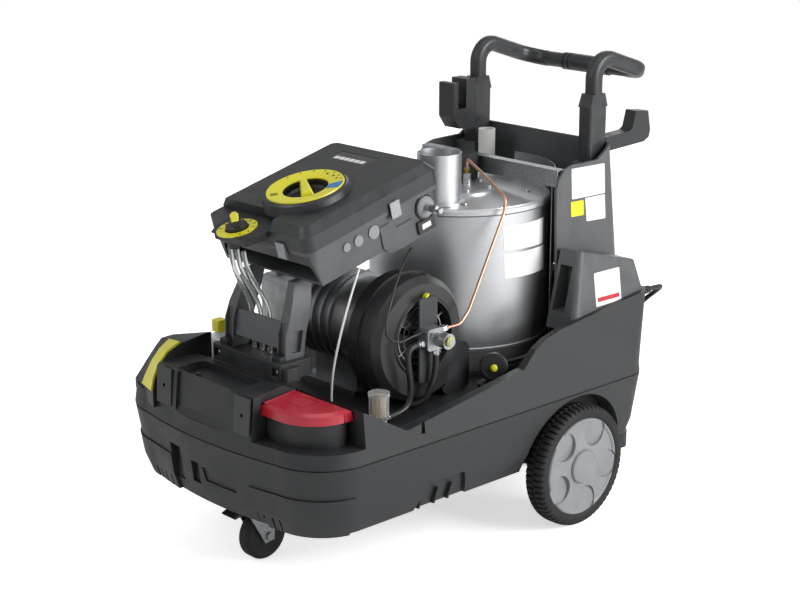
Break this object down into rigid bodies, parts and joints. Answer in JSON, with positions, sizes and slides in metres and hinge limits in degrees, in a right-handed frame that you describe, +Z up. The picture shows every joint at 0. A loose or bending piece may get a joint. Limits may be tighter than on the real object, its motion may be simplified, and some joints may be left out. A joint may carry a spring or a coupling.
{
  "type": "pressure washer",
  "caption": "Hot-water pressure washer on two large wheels and a front caster, hood removed, with its boiler, blower, pump set and tilted control box in view",
  "frame": {"origin": "centre of the machine on the floor, midway between its front wall and its handle bar", "axes": "+Z up, -Y to the front with the caster, +Y to the rear with the handle, +X to the right side that the picture shows"},
  "size_m": [0.65, 1.075, 0.9203],
  "materials": {
    "housing_plastic": "moulded dark grey, finely grained",
    "cover_plastic": "moulded grey, smooth",
    "red_plastic": "moulded red, glossy",
    "yellow_plastic": "moulded yellow",
    "white_plastic": "translucent white, blow moulded",
    "clear_plastic": "clear moulding",
    "filter_paper": "pleated filter paper",
    "drum_steel": "bright rolled sheet",
    "coil_steel": "drawn steel pipe",
    "zinc_steel": "galvanised sheet and pins",
    "cast_alloy": "cast and machined",
    "copper": "drawn copper pipe",
    "black_plastic": "black moulding",
    "black_rubber": "extruded rubber",
    "tyre_rubber": "moulded tread",
    "wheel_plastic": "moulded grey"
  },
  "bodies": {
    "chassis": {"lower_chassis": "housing_plastic", "upper_deck": "housing_plastic", "hinge_plates": "zinc_steel", "fuel_tank": "white_plastic", "detergent_tank": "white_plastic", "softener_bottle": "white_plastic", "control_bracket": "housing_plastic", "control_box_base": "housing_plastic", "control_box_cover": "cover_plastic", "dial_scales": "white_plastic", "dosing_plate": "cover_plastic", "clear_windows": "clear_plastic", "box_side_fittings": "cover_plastic", "cover_clips": "zinc_steel", "dosing_hoses": "clear_plastic", "boiler_drum": "drum_steel", "boiler_lid": "drum_steel", "burner_flange": "drum_steel", "burner_nozzle": "zinc_steel", "ignition_transformer": "black_plastic", "flue_pipe": "drum_steel", "heating_coil": "coil_steel", "blower_scroll": "housing_plastic", "blower_grille": "zinc_steel", "main_motor": "cast_alloy", "high_pressure_pump": "cast_alloy", "float_tank": "white_plastic", "fuel_pump": "cast_alloy", "pump_plate": "zinc_steel", "filter_bowl": "clear_plastic", "filter_element": "filter_paper", "fuel_hoses": "black_rubber", "copper_fuel_line": "copper", "flow_switch": "black_plastic", "sensor_cables": "black_rubber", "rear_housing": "housing_plastic", "heat_shield": "drum_steel", "handle": "cover_plastic", "handle_hooks": "housing_plastic", "side_pods": "housing_plastic", "strain_relief": "housing_plastic", "mains_cable": "black_rubber", "mains_cable_coil": "black_rubber", "mains_plug": "black_plastic", "rear_axle": "zinc_steel", "caster_plate": "zinc_steel", "water_fittings": "white_plastic"},
    "wheel_right": {"tyre_right": "tyre_rubber", "rim_right": "wheel_plastic"},
    "wheel_left": {"tyre_left": "tyre_rubber", "rim_left": "wheel_plastic"},
    "caster_fork": {"caster_fork": "zinc_steel"},
    "caster_wheel": {"caster_wheel": "tyre_rubber"},
    "brake_lever": {"brake_lever": "black_plastic"},
    "selector_knob": {"selector_knob": "cover_plastic"},
    "dosing_knob": {"dosing_knob": "cover_plastic"},
    "pressure_spindle": {"pressure_spindle": "zinc_steel"},
    "fuel_cap": {"fuel_cap": "red_plastic"},
    "detergent_flap": {"detergent_flap": "yellow_plastic"},
    "blower_impeller": {"blower_impeller": "black_plastic"}
  },
  "joints": [
    {"name": "wheel_right_spin", "type": "hinge", "parent": "chassis", "child": "wheel_right", "pos_m": [0.296, 0.171, 0.125], "axis": [1, 0, 0], "continuous": true},
    {"name": "wheel_left_spin", "type": "hinge", "parent": "chassis", "child": "wheel_left", "pos_m": [-0.296, 0.171, 0.125], "axis": [1, 0, 0], "continuous": true},
    {"name": "caster_swivel", "type": "hinge", "parent": "chassis", "child": "caster_fork", "pos_m": [0, -0.432, 0.13], "axis": [0, 0, 1], "continuous": true},
    {"name": "caster_roll", "type": "hinge", "parent": "caster_fork", "child": "caster_wheel", "pos_m": [0, -0.395, 0.05], "axis": [1, 0, 0], "continuous": true},
    {"name": "caster_brake", "type": "hinge", "parent": "caster_fork", "child": "brake_lever", "pos_m": [0, -0.448, 0.1145], "axis": [1, 0, 0], "range_deg": [0, 12]},
    {"name": "selector_turn", "type": "hinge", "parent": "chassis", "child": "selector_knob", "pos_m": [0.0125, -0.27906, 0.69347], "axis": [0, -0.2538, 0.9673], "range_deg": [-150, 120]},
    {"name": "dosing_turn", "type": "hinge", "parent": "chassis", "child": "dosing_knob", "pos_m": [-0.032, -0.41448, 0.65794], "axis": [0, -0.2538, 0.9673], "range_deg": [-140, 140]},
    {"name": "spindle_turn", "type": "hinge", "parent": "chassis", "child": "pressure_spindle", "pos_m": [0.14, -0.09686, 0.6689], "axis": [1, 0, 0], "range_deg": [-170, 170]},
    {"name": "fuel_cap_lift", "type": "hinge", "parent": "chassis", "child": "fuel_cap", "pos_m": [0.12781, -0.44868, 0.37], "axis": [0.1772, -0.9842, 0], "range_deg": [0, 80]},
    {"name": "detergent_flap_lift", "type": "hinge", "parent": "chassis", "child": "detergent_flap", "pos_m": [-0.153, -0.46389, 0.41545], "axis": [-0.9333, 0.3011, -0.1957], "range_deg": [0, 80]},
    {"name": "impeller_spin", "type": "hinge", "parent": "chassis", "child": "blower_impeller", "pos_m": [0.15, -0.158, 0.44], "axis": [1, 0, 0], "continuous": true}
  ]
}
